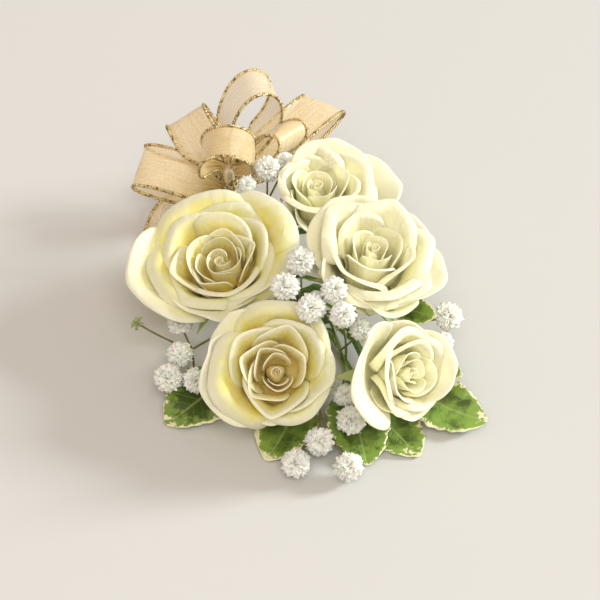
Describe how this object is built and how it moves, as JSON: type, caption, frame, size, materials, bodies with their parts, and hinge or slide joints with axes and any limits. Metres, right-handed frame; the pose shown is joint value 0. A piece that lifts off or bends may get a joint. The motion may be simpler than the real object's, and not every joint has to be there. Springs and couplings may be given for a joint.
{
  "type": "rose corsage",
  "caption": "Corsage of cream spray roses, baby's breath, variegated leaves and a sheer gold-edged ribbon bow, wired and taped to one flat-backed stem bundle.",
  "frame": {"origin": "centre of the flat underside of the taped stem bundle", "axes": "+Z away from the surface or garment that the corsage lies on, +Y from the front rose towards the bow, +X to the right as it is worn or laid"},
  "size_m": [0.1105, 0.1472, 0.0468],
  "materials": {
    "petal": "satin",
    "heart": "matte",
    "leaf": "satin",
    "gyp": "matte",
    "floral_tape": "matte",
    "ribbon": "satin",
    "tie": "satin"
  },
  "bodies": {
    "root": {"bow_loop_centre": "ribbon", "bow_loop_inner_right": "ribbon", "bow_loop_left": "ribbon", "bow_loop_right": "ribbon", "bow_loop_top": "ribbon", "bow_loop_upper_left": "ribbon", "bow_tail": "ribbon", "bow_tie": "tie", "leaf_front": "leaf", "leaf_front_right": "leaf", "leaf_left": "leaf", "leaf_rear": "leaf", "leaf_right": "leaf", "leaf_right_low": "leaf", "leaf_small_high": "leaf", "leaf_small_low": "leaf", "rose_front_heart": "heart", "rose_front_petal_1": "petal", "rose_front_petal_2": "petal", "rose_front_petal_3": "petal", "rose_front_petal_4": "petal", "rose_front_petal_5": "petal", "rose_front_stem": "floral_tape", "rose_left_heart": "heart", "rose_left_petal_1": "petal", "rose_left_petal_2": "petal", "rose_left_petal_3": "petal", "rose_left_petal_4": "petal", "rose_left_petal_5": "petal", "rose_left_stem": "floral_tape", "rose_low_right_heart": "heart", "rose_low_right_petal_1": "petal", "rose_low_right_petal_2": "petal", "rose_low_right_petal_3": "petal", "rose_low_right_petal_4": "petal", "rose_low_right_stem": "floral_tape", "rose_right_heart": "heart", "rose_right_petal_1": "petal", "rose_right_petal_2": "petal", "rose_right_petal_3": "petal", "rose_right_petal_4": "petal", "rose_right_petal_5": "petal", "rose_right_stem": "floral_tape", "rose_top_heart": "heart", "rose_top_petal_1": "petal", "rose_top_petal_2": "petal", "rose_top_petal_3": "petal", "rose_top_petal_4": "petal", "rose_top_petal_5": "petal", "rose_top_stem": "floral_tape", "sprig_centre": "gyp", "sprig_front": "gyp", "sprig_inner_right": "gyp", "sprig_left": "gyp", "sprig_low": "gyp", "sprig_right": "gyp", "sprig_top": "gyp", "stem_bundle": "floral_tape"}
  },
  "joints": []
}
